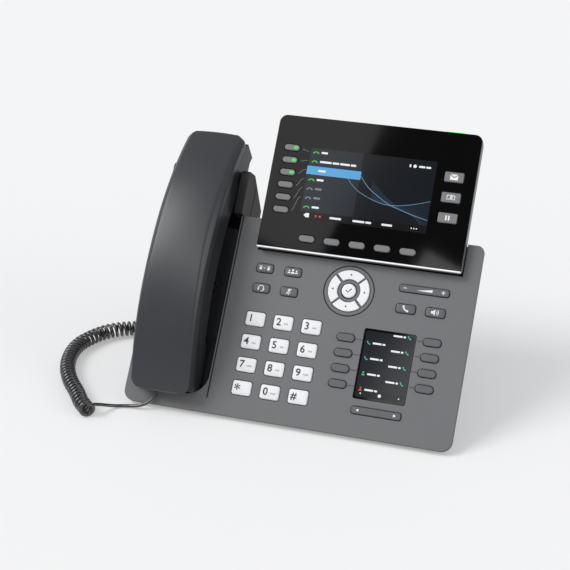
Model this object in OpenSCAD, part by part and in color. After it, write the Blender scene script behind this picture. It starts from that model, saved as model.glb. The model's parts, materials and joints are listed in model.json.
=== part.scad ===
// Desk IP telephone: a sloped base with a handset cradle on the left, a colour
// display tilted up at the back, a dial pad, a side display with its own keys,
// a fold-flat desk stand and a corded handset.
// Millimetres. X runs to the user's right, Y away from the user, Z up.

/* [Base] */
// Width of the base
base_w = 246; // [240:1:256]
// Length of the sloped face, measured up the slope
face_len = 150; // [149:0.5:152]
// Slope of the face above the table, degrees
face_tilt = 50.4; // [48:0.2:53]
// Depth of the base below the face
base_depth = 42; // [40:0.5:44]
// Wall thickness of the plastic shells
wall = 2.4; // [1.8:0.1:2.6]
// Height of the front edge of the face above the table
face_z = 4; // [4:0.1:4.6]
// Front edge of the face, which centres the footprint on the origin
face_y = -80; // [-82:0.1:-78]

/* [Display] */
// Width of the display's cover glass
glass_w = 150.4; // [148:0.2:152]
// Height of the display's cover glass
glass_h = 99.9; // [98:0.1:102]
// Thickness of the display's frame
frame_t = 11; // [10:0.2:12]
// Extra lean of the display past the face's slope, degrees
screen_lean = 2.2; // [1.6:0.1:2.8]

/* [Handset] */
// Width of the handset
handset_w = 45.4; // [43:0.2:46]
// Thickness of the handset's grip
handset_t = 22.4; // [21.4:0.2:22.6]
// Height of the handset's back above the face
handset_rise = 37.6; // [37.4:0.2:38.4]
// Distance that the hook tab rises when the handset is lifted off
hook_rise = 3; // [2:0.5:3]

/* [Keys] */
// Width of a dial key
dial_w = 14.3; // [13:0.1:15]
// Height of a dial key
dial_h = 10.5; // [9.5:0.1:11]
// Sideways spacing of the dial keys
dial_dx = 21.36; // [20:0.02:22]
// Up-slope spacing of the dial keys
dial_dv = 17.28; // [16:0.02:18]
// Gap between a key and the edge of its opening
key_gap = 0.35; // [0.3:0.05:0.45]

/* [Cord] */
// Outer diameter of the curly cord's coil
coil_d = 12.4; // [11:0.2:13]
// Diameter of the cord itself
cord_d = 2.6; // [2.4:0.1:3]

/* [Hidden] */
$fn = 48;
hull_fn = 32;

// Face layout: X is across the face, V is up the slope, W stands out of it
plate_t = 2.5;
plate_depth = 4;
half_w = base_w / 2;
low_corner = 8;
high_corner = 5;

// Cradle opening and the tower behind the handset's ear end
cradle_x0 = -118;
cradle_x1 = -60.6;
cradle_v0 = 11.8;
seam_x = -59.2;
seam_w = 1;
notch_v = 126;
mouth_floor = -6.4;
grille_floor = -4;
ear_floor = -17;
floor_t = 1.8;
tower_v0 = 149.6;
tower_v1 = 184.5;
tower_x0 = -119.6;
tower_x1 = -59.4;
grille_x = -88;
grille_v = 94;
grille_r = 21;
grille_pitch = 3.6;
grille_hole_r = 0.95;

// Handset: one arc with its crown at grip_v
grip_x = -91.6;
grip_v = 101.75;
grip_r = 200.6;
grip_a_high = 33.4;
grip_a_low = 28;
grip_bevel = 3.6;
grip_flare = 2.6;
block_half = 24.2;
cover_t = 9.5;
shell_t = 2.2;
end_cap_a = 0.8;
plug_x = -97.5;
plug_w = 3.6;
plug_v = 16.5;

// Places of the keys on the face
nav_x = 30.7;
nav_v = 104.2;
dial_x = -34.4;
dial_v = 73.7;
left_x = 34.9;
left_v = 52.9;
left_dv = 11.35;
right_x = 97.3;
right_v = 58.2;
right_dv = 11.25;
side_x = 66.5;
side_v = 53.2;
side_w = 38.2;
side_h = 51.6;
stadium_w = 13;
stadium_h = 5.5;
function_size = [12.6, 6.5];
call_size = [14, 6.5];
rocker_size = [36, 5.2];
function_places = [[-34.7, 112.4], [-13.1, 112.3], [-34.6, 97.2], [-13.3, 97.2]];
call_places = [[74.3, 96.8], [95.9, 96.9]];
volume_place = [85.4, 111.8];
page_place = [66.3, 19.2];
key_foot = -3.6;
mat_top = -5.4;

// Display layout: centred on the active area of the main display
screen_x = 32.9;
screen_v = 178.6;
screen_w = 9.4;
glass_dx = 0.8;
glass_dv = -0.85;
frame_lip = 1.4;
glass_t = 1.9;
active_w = 95;
active_h = 53.9;
line_x = -62.2;
line_v = 1.6;
line_dv = 9.52;
soft_x = -0.95;
soft_v = -41.9;
soft_dx = 18.9;
menu_x = 61.3;
menu_v = 1.6;
menu_dv = 15.2;
line_size = [11.6, 4.6];
soft_size = [12, 4.9];
menu_size = [14, 7.4];
light_size = [14.6, 1.2, 3];
light_x = 57;
light_w = -3.6;
light_v = glass_dv + glass_h / 2 + frame_lip;

// Stand, feet, sockets and screws
foot_h = 2;
hinge_v = 118;
hinge_w = -46.5;
hinge_r = 1.6;
leg_t = 5;
leg_x0 = 60;
leg_x1 = 74;
stand_reach = 48;
bay_y = face_y + 83;
bay_x = 50;
bay_z = 14;
bay_v0 = 45;
port_z = 25;
lan_x = -12;
pc_x = 8;
power_x = 30;
network_size = [16, 18, 13.6];
cord_jack_x = -110.6;
cord_jack_w = -30;
cord_jack_v = 72;
headset_jack_v = 91;
cord_jack_size = [13, 12, 11];
screw_x = 96;
screw_low_v = 40;
screw_high_v = 136;
board_w = -24;

// Route of the curly coil, from its front end to its rear end
coil_route = [[-139, -106, 6.2], [-144, -101, 6.2], [-149, -96, 6.2],
    [-158, -84, 6.2], [-168, -72, 6.2], [-177, -58, 6.2], [-183, -44, 6.2],
    [-186, -30, 6.2], [-186, -17, 6.2], [-182, -5, 6.2], [-177, 4, 6.2],
    [-171, 11, 6.2], [-164, 16, 6.2], [-156, 20, 6.2], [-147, 23, 6.2],
    [-139, 25, 6.2]];
// Route of the lead from the handset's plug to the coil
handset_lead = [[-97.5, -75.9, 14.6], [-97.6, -78.2, 11.6], [-99, -80.6, 8.4],
    [-102.8, -82.6, 5.4], [-108, -83.9, 3.2], [-114, -84.4, 2], [-120, -85.2, 1.5],
    [-125.5, -87.8, 2], [-130.5, -92.5, 4.4], [-134.8, -98.3, 7.6], [-137.4, -103.2, 10]];
// Route of the lead from the coil to the socket in the base's left side
base_lead = [[-136, 25, 9.6], [-130.5, 21.5, 5], [-127, 16, 1.8], [-125.6, 9, 1.5],
    [-126, 2, 3], [-127.3, -3, 10], [-128, -6, 20], [-128, -8, 30], [-127, -9.5, 35.5],
    [-124.5, -10.5, 39], [-121, -10.9, 40.3], [-117.8, -10.9, 40.4]];

function face_at(v, w) = [face_y + v * cos(face_tilt) - w * sin(face_tilt),
    face_z + v * sin(face_tilt) + w * cos(face_tilt)];
function unit(a) = a / norm(a);
hinge = face_at(hinge_v, hinge_w);

module on_face(x = 0, v = 0, w = 0) {
    translate([0, face_y, face_z])
        rotate([face_tilt, 0, 0])
            translate([x, v, w])
                children();
}

module on_screen(x = 0, v = 0, w = 0) {
    on_face(screen_x, screen_v, screen_w)
        rotate([screen_lean, 0, 0])
            translate([x, v, w])
                children();
}

// Rectangle from corner to corner, with radii for its four corners in the
// order low left, low right, high right, high left
module outline(x0, x1, v0, v1, r) {
    polygon([[x0, v0 + r[0]], [x0 + r[0], v0], [x1 - r[1], v0], [x1, v0 + r[1]],
        [x1, v1 - r[2]], [x1 - r[2], v1], [x0 + r[3], v1], [x0, v1 - r[3]]]);
    translate([x0 + r[0], v0 + r[0]]) circle(r[0]);
    translate([x1 - r[1], v0 + r[1]]) circle(r[1]);
    translate([x1 - r[2], v1 - r[2]]) circle(r[2]);
    translate([x0 + r[3], v1 - r[3]]) circle(r[3]);
}

module rounded_rect(size, r) {
    outline(-size[0] / 2, size[0] / 2, -size[1] / 2, size[1] / 2, [r, r, r, r]);
}

module stadium(size) {
    square([size[0] - size[1], size[1]], center = true);
    for (s = [-1, 1])
        translate([s * (size[0] - size[1]) / 2, 0]) circle(size[1] / 2);
}

module base_outline(grow = 0) {
    outline(-half_w - grow, half_w + grow, -grow, face_len + grow,
        [low_corner + grow, low_corner + grow, high_corner + grow, high_corner + grow]);
}

// One quarter of a ring that faces up the slope, turned to its own direction
module nav_quarter(r0, r1, gap, turn) {
    rotate(turn) intersection() {
        difference() {
            circle(r1);
            circle(r0);
        }
        rotate(45) translate([gap / 2, gap / 2]) square(r1 + 1);
    }
}

module slab(low, high) {
    translate([0, 0, low]) linear_extrude(high - low) children();
}

// Extrudes a side profile, drawn as (V, W) or (Y, Z), along X
module along_x(x0, x1) {
    translate([x0, 0, 0]) rotate([90, 0, 90]) linear_extrude(x1 - x0) children();
}

// ---------------------------------------------------------------- face

module key_openings(g) {
    for (col = [0:2], row = [0:3])
        translate([dial_x + col * dial_dx, dial_v - row * dial_dv])
            rounded_rect([dial_w + 2 * g, dial_h + 2 * g], 1.2 + g);
    for (p = function_places)
        translate(p) rounded_rect(function_size + [2 * g, 2 * g], 1.8 + g);
    for (p = call_places)
        translate(p) rounded_rect(call_size + [2 * g, 2 * g], 1.8 + g);
    for (p = [volume_place, page_place])
        translate(p) rounded_rect(rocker_size + [2 * g, 2 * g], 1.6 + g);
    for (i = [-1.5:1.5]) {
        translate([left_x, left_v + i * left_dv])
            stadium([stadium_w + 2 * g, stadium_h + 2 * g]);
        translate([right_x, right_v + i * right_dv])
            stadium([stadium_w + 2 * g, stadium_h + 2 * g]);
    }
    translate([nav_x, nav_v]) {
        circle(5.2 + 2 * g);
        for (turn = [0:90:270]) nav_quarter(8.65 - g, 15.35 + g, 1, turn);
    }
    translate([side_x, side_v]) rounded_rect([side_w, side_h], 1.5);
}

module face_plate() color("dimgray") on_face() difference() {
    slab(-plate_depth, 0) base_outline();
    slab(-plate_depth - 1, -plate_t) base_outline(-wall);
    slab(-plate_depth - 1, 1)
        outline(cradle_x0, cradle_x1, cradle_v0, face_len + 20, [8, 16, 1, 1]);
    slab(-1.2, 1) translate([seam_x, (11 + face_len + 10) / 2])
        rotate(90) stadium([face_len + 10 - 11, seam_w]);
    slab(-plate_depth - 1, 1)
        translate([screen_x + glass_dx, face_len])
            square([glass_w + 2 * frame_lip + 0.8, 2 * (face_len - notch_v)], center = true);
    slab(-plate_depth - 1, 1) key_openings(key_gap);
    slab(-1, 1) translate([nav_x, nav_v]) difference() {
        circle(19);
        circle(18.3);
    }
}

module side_glass() color("black") on_face(side_x, side_v)
    slab(-2.4, -0.3) rounded_rect([side_w - 0.3, side_h - 0.3], 1.3);

module side_lcd() color("darkslategray") on_face(side_x, side_v)
    slab(-4.8, -2.6) square([42, 56], center = true);

module key_mat() color("gainsboro") on_face() {
    slab(mat_top - 1, mat_top) outline(-48, 112, 10, 124, [3, 3, 3, 3]);
    slab(mat_top - 0.2, mat_top + 0.4) {
        for (col = [0:2], row = [0:3])
            translate([dial_x + col * dial_dx, dial_v - row * dial_dv]) circle(3);
        for (p = concat(function_places, call_places)) translate(p) circle(2.4);
        for (turn = [0:90:270])
            translate([nav_x, nav_v]) rotate(turn) translate([0, 12]) circle(2);
        translate([nav_x, nav_v]) circle(2.4);
    }
}

// ---------------------------------------------------------------- keys

module dial_key(col, row) color("whitesmoke")
    on_face(dial_x + col * dial_dx, dial_v - row * dial_dv)
        slab(key_foot, 1.6) rounded_rect([dial_w, dial_h], 1.2);

module flat_key(place, size) color("gray") on_face(place[0], place[1])
    slab(key_foot, 1.2) rounded_rect(size, 1.8);

module rocker(place) color("gray") on_face(place[0], place[1]) {
    slab(-3, 1.2) rounded_rect(rocker_size, 1.6);
    // Pivot stubs on the rocker's tilt axis
    translate([0, 0, -1]) rotate([90, 0, 0])
        cylinder(h = rocker_size[1] + 0.4, r = 0.9, center = true);
}

module nav_key(turn) color("whitesmoke") on_face(nav_x, nav_v)
    slab(key_foot, 1.2) nav_quarter(8.65, 15.35, 1.7, turn);

module ok_key() color("white") on_face(nav_x, nav_v) slab(key_foot, 1.4) circle(5.2);

module side_keys(x, v, dv) color("gray")
    for (i = [-1.5:1.5])
        on_face(x, v + i * dv) slab(key_foot, 1.2) stadium([stadium_w, stadium_h]);

module line_keys() color("gray")
    for (i = [-2.5:2.5])
        on_screen(line_x, line_v + i * line_dv) slab(-4.5, 0.9) stadium(line_size);

module soft_keys() color("gray")
    for (i = [-2:2])
        on_screen(soft_x + i * soft_dx, soft_v) slab(-4.5, 0.9) stadium(soft_size);

module menu_key(i) color("gray") on_screen(menu_x, menu_v + i * menu_dv)
    slab(-4.5, 0.9) rounded_rect(menu_size, 1.6);

// ---------------------------------------------------------------- display

module glass_outline(grow = 0) {
    translate([glass_dx, glass_dv])
        outline(-glass_w / 2 - grow, glass_w / 2 + grow, -glass_h / 2 - grow,
            glass_h / 2 + grow, [1, 1, 4.5, 4.5] + max(grow, -0.8) * [1, 1, 1, 1]);
}

module display_glass() color("black") on_screen() difference() {
    slab(-glass_t, 0) glass_outline();
    slab(-glass_t - 1, 1) {
        for (i = [-2.5:2.5])
            translate([line_x, line_v + i * line_dv])
                stadium(line_size + [2, 2] * key_gap);
        for (i = [-2:2])
            translate([soft_x + i * soft_dx, soft_v])
                stadium(soft_size + [2, 2] * key_gap);
        for (i = [-1:1])
            translate([menu_x, menu_v + i * menu_dv])
                rounded_rect(menu_size + [2, 2] * key_gap, 1.6 + key_gap);
    }
}

module display_frame() color("silver") on_screen() difference() {
    slab(-frame_t, 0) glass_outline(frame_lip);
    slab(-glass_t - 0.1, 1) glass_outline(0.15);
    slab(-frame_t - 1, -glass_t - 1.2) glass_outline(-0.8);
    slab(-frame_t - 1, 1) glass_outline(-2.6);
    translate([light_x, light_v, light_w]) cube(light_size + [0.2, 1.6, 0.2], center = true);
}

module status_light() color("limegreen")
    on_screen(light_x, light_v - 0.4, light_w) cube(light_size, center = true);

module main_lcd() color("midnightblue") on_screen(0, 0)
    slab(-5.2, -2.1) square([active_w + 9, active_h + 9], center = true);

module display_board() color("darkgreen") on_screen(glass_dx, glass_dv) {
    slab(-8.4, -6.8) square([glass_w - 7, glass_h - 7], center = true);
    for (x = [-30, 0, 34]) slab(-9.8, -8.2) translate([x, 8]) square(11, center = true);
}

module display_back_cover() color("#1d1e20") on_screen() difference() {
    hull() {
        slab(-frame_t - 3.4, -frame_t - 0.2)
            outline(-72, 73.6, -27, 46.5, [4, 4, 8, 8], $fn = hull_fn);
        slab(-34, -32) outline(-60, 61, -26, 30, [4, 4, 8, 8], $fn = hull_fn);
    }
    hull() {
        slab(-frame_t - 3.4, -frame_t + 1)
            outline(-69.6, 71.2, -24.6, 44.1, [3, 3, 6, 6], $fn = hull_fn);
        slab(-31.6, -30) outline(-58, 59, -23.6, 28, [3, 3, 6, 6], $fn = hull_fn);
    }
}

// ---------------------------------------------------------------- base

module bay_profile(inset) {
    polygon([face_at(bay_v0 + inset, -base_depth + wall + 1),
        face_at(bay_v0 + inset, -base_depth),
        [bay_y - inset, bay_z + inset],
        [bay_y - inset, 38],
        face_at(79, -base_depth + wall + 1)]);
}

module housing_shell(inset) {
    hull() {
        slab(-9, -4.2 + inset)
            outline(-half_w + 1.5 + inset, half_w - 1.5 - inset, 0.8 + inset,
                face_len - 0.8 - inset, [7, 7, 4, 4], $fn = hull_fn);
        slab(-base_depth + inset, -base_depth + inset + 1)
            outline(-104 + inset, 104 - inset, 24 + inset, 147 - inset,
                [6, 6, 6, 6], $fn = hull_fn);
    }
}

module above(z) {
    translate([-200, -200, z]) cube([400, 400, 300]);
}

module cord_jack_at(v) {
    p = face_at(v, cord_jack_w);
    translate([cord_jack_x, p[0], p[1]]) children();
}

module screw_places() {
    for (x = [-screw_x, screw_x], v = [screw_low_v, screw_high_v])
        on_face(x, v) children();
}

module lower_housing() color("#1d1e20") difference() {
    union() {
        difference() {
            union() {
                intersection() {
                    on_face() housing_shell(0);
                    above(foot_h);
                }
                along_x(-bay_x, bay_x) bay_profile(0);
            }
            intersection() {
                on_face() housing_shell(wall);
                above(foot_h + wall);
            }
            along_x(-bay_x + wall, bay_x - wall) bay_profile(wall);
        }
        for (s = [-1, 1]) translate([s * 78, 0, 0]) {
            translate([0, hinge[0], hinge[1]])
                rotate([0, 90, 0]) cylinder(h = 5.6, r = 4.2, center = true);
            on_face(0, hinge_v, (hinge_w - base_depth + 0.6) / 2)
                cube([5.6, 8.4, -hinge_w - base_depth + 0.6], center = true);
        }
        screw_places() slab(-base_depth + 1, -10) circle(4);
    }
    // Opening at the top for the cradle
    on_face() translate([cradle_x0 - 1, 143, -20]) cube([61.2, 12, 30]);
    // Sockets at the back
    for (x = [lan_x, pc_x])
        translate([x, bay_y, port_z]) cube(network_size + [0.3, 0, 0.3], center = true);
    translate([power_x, bay_y, port_z]) cube([9.3, 14, 11.3], center = true);
    // Sockets in the left side
    for (v = [cord_jack_v, headset_jack_v])
        cord_jack_at(v) translate([-1, 0, 0])
            cube([30, cord_jack_size[1] + 0.3, cord_jack_size[2] + 0.3], center = true);
    // Bores for the stand's pins and for the screws
    for (s = [-1, 1]) translate([s * 78, hinge[0], hinge[1]])
        rotate([0, 90, 0]) cylinder(h = 8, r = hinge_r + 0.06, center = true);
    screw_places() slab(-base_depth - 2, -13) circle(1.6);
}

module tower_profile() {
    polygon([[tower_v0, -base_depth], [tower_v0, -4.4], [face_len + 0.4, -4.4],
        [face_len + 0.4, 4.5], [153, 5.2], [181, 6], [183.2, 4.6],
        [tower_v1, -9], [166, -base_depth]]);
}

module handset_cradle() color("#202124") on_face() difference() {
    union() {
        along_x(cradle_x0 - 0.8, cradle_x1 + 1.4)
            polygon([[10.2, mouth_floor - floor_t], [10.2, -2.6], [11.8, -2.6],
                [11.8, mouth_floor], [52, mouth_floor], [57, grille_floor],
                [140, grille_floor], [150.5, ear_floor], [179, ear_floor],
                [177, ear_floor - wall], [149.4, ear_floor - wall],
                [138.8, grille_floor - floor_t], [57.6, grille_floor - floor_t],
                [52.6, mouth_floor - floor_t]]);
        for (x = [cradle_x0 - 0.8, cradle_x1])
            along_x(x, x + 1.4)
                polygon([[10.2, mouth_floor - floor_t], [10.2, -2.6], [149, -2.6],
                    [149, ear_floor - wall], [137, mouth_floor - floor_t]]);
        difference() {
            along_x(tower_x0, tower_x1) tower_profile();
            translate([cradle_x0 + 0.5, tower_v0 - 5, ear_floor]) cube([51.9, 50, 40]);
            along_x(tower_x0 + wall, tower_x1 - wall)
                polygon([[tower_v0 - 1, -base_depth + wall], [tower_v0 - 1, ear_floor - wall],
                    [175.5, ear_floor - wall], [164.2, -base_depth + wall]]);
        }
    }
    // Speaker grille: a ring groove round a honeycomb of round holes
    translate([grille_x, grille_v, 0]) {
        slab(grille_floor - 0.5, 1) difference() {
            circle(grille_r);
            circle(grille_r - 0.7);
        }
        for (i = [-5:5], j = [-5:5])
            if (abs(i + j) <= 5)
                translate([(i + j / 2) * grille_pitch, j * grille_pitch * sin(60), -7])
                    cylinder(h = 8, r = grille_hole_r, $fn = 16);
    }
    // Slot for the hook tab
    translate([grip_x - 3.4, 160, ear_floor - 5]) cube([6.8, 10.8, 8]);
}

module hook_switch() color("#2a2b2e") on_face() {
    translate([grip_x - 3, 160.4, -23]) cube([6, 10, 8.2]);
    translate([grip_x - 5, 158.4, -25]) cube([10, 14, 2]);
}

module loudspeaker() color("darkgray") on_face(grille_x, grille_v) {
    slab(-8.4, -7.2) circle(20);
    slab(-13, -8.2) circle(17);
    slab(-19, -12.8) circle(11);
}

module main_board() color("darkgreen") on_face() {
    slab(board_w, board_w + 1.6) outline(-50, 90, 30, 138, [2, 2, 2, 2]);
    for (p = [[-20, 60], [10, 84], [44, 60], [62, 104]])
        slab(board_w + 1.4, board_w + 3) translate(p) square(13, center = true);
}

module network_jack() {
    difference() {
        translate([0, -network_size[1] / 2, 0]) cube(network_size, center = true);
        translate([0, -6, -0.6]) cube([11.8, 13, 8.4], center = true);
        translate([0, -6, -5]) cube([6, 13, 2.4], center = true);
    }
}

module rear_jacks() color("gray") {
    for (x = [lan_x, pc_x]) translate([x, bay_y, port_z]) network_jack();
    translate([power_x, bay_y - 7, port_z]) difference() {
        cube([9, 14, 11], center = true);
        translate([0, 8, 0]) rotate([90, 0, 0]) cylinder(h = 11, r = 2.9);
    }
}

module cord_jacks() color("gray")
    for (v = [cord_jack_v, headset_jack_v])
        cord_jack_at(v) difference() {
            translate([cord_jack_size[0] / 2, 0, 0]) cube(cord_jack_size, center = true);
            translate([4, 0, 0]) cube([10, 7.9, 6.8], center = true);
        }

module rubber_feet() color("#303030")
    for (x = [-92, 92], y = [face_y + 12, face_y + 44])
        translate([x, y, 0]) cylinder(h = foot_h, r = 6);

module screws() color("silver") screw_places() {
    slab(-base_depth - 1, -15) circle(1.5);
    slab(-base_depth - 2, -base_depth - 0.1) circle(2.9);
}

module desk_stand() color("#1d1e20") {
    toe = [hinge[0] + stand_reach, 3];
    along = unit(toe - hinge);
    side = [-along[1], along[0]] * leg_t / 2;
    for (x = [-leg_x1, leg_x0])
        along_x(x, x + leg_x1 - leg_x0)
            polygon([hinge + side, toe + side, toe - side, hinge - side]);
    translate([-leg_x1, toe[0] - 6, 0]) cube([2 * leg_x1, 13, 4.5]);
    translate([0, hinge[0], hinge[1]]) rotate([0, 90, 0]) {
        cylinder(h = 2 * leg_x1 + 1, r = 3.6, center = true);
        cylinder(h = 161, r = hinge_r, center = true);
    }
}

// ---------------------------------------------------------------- handset

// Cross-section of the grip between two depths below its back, bevelled along
// the back's two long edges and flared towards its underside; drawn as (radius, X)
module grip_section(radius, top, bottom, inset) {
    half = handset_w / 2 - inset;
    wide = half + grip_flare;
    shoulder = radius - grip_bevel - inset;
    intersection() {
        polygon([[radius - handset_t, -wide], [shoulder, -half], [radius - inset, grip_bevel - half],
            [radius - inset, half - grip_bevel], [shoulder, half], [radius - handset_t, wide]]);
        translate([radius - bottom, -wide]) square([bottom - top, 2 * wide]);
    }
}

module grip_arc(trim) {
    on_face(grip_x, grip_v, handset_rise - grip_r) rotate([90, 0, 90])
        rotate([0, 0, 90 - grip_a_high + trim])
            rotate_extrude(angle = grip_a_high + grip_a_low - 2 * trim, $fn = 120) children();
}

module handset_outline() {
    wide = handset_w / 2 + grip_flare;
    on_face() slab(-60, 80)
        outline(grip_x - wide, grip_x + wide, 7.3, 212.2, [12, 12, 9, 9]);
}

module plug_recess() {
    on_face(plug_x, plug_v - 4, plug_w) cube([8, 22, 6], center = true);
}

module handset_cover() color("#3a3b3e") difference() {
    intersection() {
        grip_arc(0) grip_section(grip_r, 0, cover_t, 0);
        handset_outline();
    }
    grip_arc(end_cap_a) grip_section(grip_r, shell_t, cover_t + 1, shell_t);
    plug_recess();
}

module handset_body() color("#2c2d30") difference() {
    intersection() {
        union() {
            difference() {
                grip_arc(0) grip_section(grip_r, cover_t + 0.2, handset_t, 0);
                grip_arc(end_cap_a) grip_section(grip_r, cover_t - 1, handset_t - shell_t, shell_t);
            }
            on_face() along_x(grip_x - block_half, grip_x + block_half) {
                polygon([[149.5, 12], [153.5, -14.2], [195.8, -14.2], [200.5, -10.5],
                    [185, -1], [165, 8], [155, 12]]);
                polygon([[13.2, 5], [15, 0.8], [15.9, -5.5], [48, -5.5], [53.5, 14],
                    [46, 16], [30, 11.5]]);
            }
        }
        handset_outline();
    }
    on_face(grip_x, 175) slab(-12, -2) circle(15.6);
    on_face(grip_x, 30) slab(-4, 5) circle(5.4);
    for (a = [0:60:300])
        on_face(grip_x + 6 * cos(a), 175 + 6 * sin(a)) slab(-16, -10) circle(1.1);
    on_face(grip_x, 175) slab(-16, -10) circle(1.1);
    on_face(grip_x, 30) slab(-8, -3) circle(1);
    plug_recess();
}

module handset_capsules() color("darkgray") {
    on_face(grip_x, 175) slab(-11.6, -3) circle(15);
    on_face(grip_x, 30) slab(-3.6, 1.4) circle(4.8);
}

// ---------------------------------------------------------------- cord

// A tube with one ring of corners at each point of its route
module tube(route, r, sides, lean) {
    count = len(route);
    heading = [for (i = [0:count - 1])
        unit(route[min(i + 1, count - 1)] - route[max(i - 1, 0)])];
    corners = [for (i = [0:count - 1], j = [0:sides - 1])
        let (across = unit(cross(lean, heading[i])), other = cross(heading[i], across),
            a = 360 * j / sides)
            route[i] + r * (cos(a) * across + sin(a) * other)];
    walls = [for (i = [0:count - 2], j = [0:sides - 1])
        let (k = (j + 1) % sides)
            for (half = [0, 1])
                half == 0 ? [i * sides + j, (i + 1) * sides + j, (i + 1) * sides + k]
                    : [i * sides + j, (i + 1) * sides + k, i * sides + k]];
    ends = [[for (j = [0:sides - 1]) j],
        [for (j = [sides - 1:-1:0]) (count - 1) * sides + j]];
    polyhedron(corners, concat(walls, ends), convexity = 8);
}

module curly_cord() color("#151515") tube(coil_route, coil_d / 2, 12, [0, 0, 1]);

module cord_lead_handset() color("#151515") tube(handset_lead, cord_d / 2, 8, [1, -1, 1]);

module cord_lead_base() color("#151515") tube(base_lead, cord_d / 2, 8, [1, -1, 1]);

module handset_plug() color("lightgray")
    on_face(plug_x, plug_v, plug_w) cube([7.6, 10, 5.4], center = true);

module base_plug() color("lightgray")
    cord_jack_at(cord_jack_v) translate([-0.2, 0, 0]) cube([14, 7.6, 6.4], center = true);

// ---------------------------------------------------------------- nodes

face_plate();
lower_housing();
handset_cradle();
display_frame();
display_glass();
display_back_cover();
main_lcd();
side_lcd();
side_glass();
status_light();
handset_cover();
handset_body();
handset_capsules();
hook_switch();
desk_stand();
curly_cord();
cord_lead_handset();
cord_lead_base();
handset_plug();
base_plug();
main_board();
display_board();
loudspeaker();
rear_jacks();
cord_jacks();
rubber_feet();
screws();
key_mat();
dial_key(0, 0);  // key_1
dial_key(1, 0);  // key_2
dial_key(2, 0);  // key_3
dial_key(0, 1);  // key_4
dial_key(1, 1);  // key_5
dial_key(2, 1);  // key_6
dial_key(0, 2);  // key_7
dial_key(1, 2);  // key_8
dial_key(2, 2);  // key_9
dial_key(0, 3);  // key_star
dial_key(1, 3);  // key_0
dial_key(2, 3);  // key_hash
flat_key(function_places[0], function_size);  // transfer_key
flat_key(function_places[1], function_size);  // conference_key
flat_key(function_places[2], function_size);  // headset_key
flat_key(function_places[3], function_size);  // mute_key
flat_key(call_places[0], call_size);  // send_key
flat_key(call_places[1], call_size);  // speaker_key
rocker(volume_place);  // volume_rocker
rocker(page_place);  // page_rocker
nav_key(0);  // nav_up
nav_key(90);  // nav_left
nav_key(180);  // nav_down
nav_key(270);  // nav_right
ok_key();
menu_key(1);  // message_key
menu_key(0);  // contacts_key
menu_key(-1);  // hold_key
line_keys();
soft_keys();
side_keys(left_x, left_v, left_dv);  // side_keys_left
side_keys(right_x, right_v, right_dv);  // side_keys_right
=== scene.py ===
"""Looks of a desk IP phone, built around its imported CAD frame.

Lengths are millimetres in the axes of the sloped face or of the display, and metres in the
row's own frame.
"""

import json
import math

import bmesh
import bpy
from mathutils import Matrix, Vector
from mathutils.geometry import tessellate_polygon


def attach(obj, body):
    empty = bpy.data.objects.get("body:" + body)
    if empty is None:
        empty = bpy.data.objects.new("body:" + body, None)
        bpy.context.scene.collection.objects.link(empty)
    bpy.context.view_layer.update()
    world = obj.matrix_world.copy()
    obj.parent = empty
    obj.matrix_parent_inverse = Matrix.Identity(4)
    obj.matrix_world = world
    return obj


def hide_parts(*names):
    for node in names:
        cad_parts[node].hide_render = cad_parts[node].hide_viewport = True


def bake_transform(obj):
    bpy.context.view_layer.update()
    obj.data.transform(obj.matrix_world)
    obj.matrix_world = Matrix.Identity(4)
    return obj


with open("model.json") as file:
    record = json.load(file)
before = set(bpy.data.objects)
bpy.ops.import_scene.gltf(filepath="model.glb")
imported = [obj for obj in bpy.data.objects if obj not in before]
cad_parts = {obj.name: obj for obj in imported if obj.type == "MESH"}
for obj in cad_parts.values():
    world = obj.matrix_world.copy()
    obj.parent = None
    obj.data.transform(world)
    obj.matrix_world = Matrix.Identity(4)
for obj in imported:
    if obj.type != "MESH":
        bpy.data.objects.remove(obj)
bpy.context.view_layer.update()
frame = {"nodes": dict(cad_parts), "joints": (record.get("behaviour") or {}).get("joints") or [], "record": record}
MM = 0.001


# ---------------------------------------------------------------- places, read from the frame


def corners(node, axes):
    """Lowest and highest corner of a node in the given axes."""
    inverse = axes.inverted()
    points = [inverse @ v.co for v in frame["nodes"][node].data.vertices]
    low = Vector([min(p[i] for p in points) for i in range(3)])
    high = Vector([max(p[i] for p in points) for i in range(3)])
    return low, high


def centre(node, axes):
    low, high = corners(node, axes)
    return (low + high) / 2


def solids_of(node, axes):
    """The corners of each separate solid in a node, from left to right, then from low to high."""
    inverse = axes.inverted()
    bm = bmesh.new()
    bm.from_mesh(frame["nodes"][node].data)
    bmesh.ops.remove_doubles(bm, verts=bm.verts, dist=MM / 100)
    left = set(bm.verts)
    found = []
    while left:
        group = [left.pop()]
        for v in group:
            for edge in v.link_edges:
                other = edge.other_vert(v)
                if other in left:
                    left.remove(other)
                    group.append(other)
        points = [inverse @ v.co for v in group]
        low = Vector([min(p[i] for p in points) for i in range(3)])
        high = Vector([max(p[i] for p in points) for i in range(3)])
        found.append((low, high))
    bm.free()
    return sorted(found, key=lambda c: (round(c[0].x), c[0].y))


def sloped_axes(joint_name):
    """X across, Y up the slope and Z out of it, in millimetres, for keys that this joint presses in."""
    inward = next(j["axis"] for j in frame["joints"] if j["name"] == joint_name)
    tilt = math.atan2(inward[1], -inward[2])
    return Matrix.Rotation(tilt, 4, "X") @ Matrix.Scale(MM, 4)


face_slope = sloped_axes("key_5_press")
plate_low, plate_high = corners("face_plate", face_slope)
FACE = face_slope @ Matrix.Translation((0, plate_low.y, plate_high.z))
screen_slope = sloped_axes("contacts_key_press")
lcd = centre("main_lcd", screen_slope)
glass_top = corners("display_glass", screen_slope)[1].z
SCREEN = screen_slope @ Matrix.Translation((lcd.x, lcd.y, glass_top))

# ---------------------------------------------------------------- materials

GLASS_SPECULAR = 0.07

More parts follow.
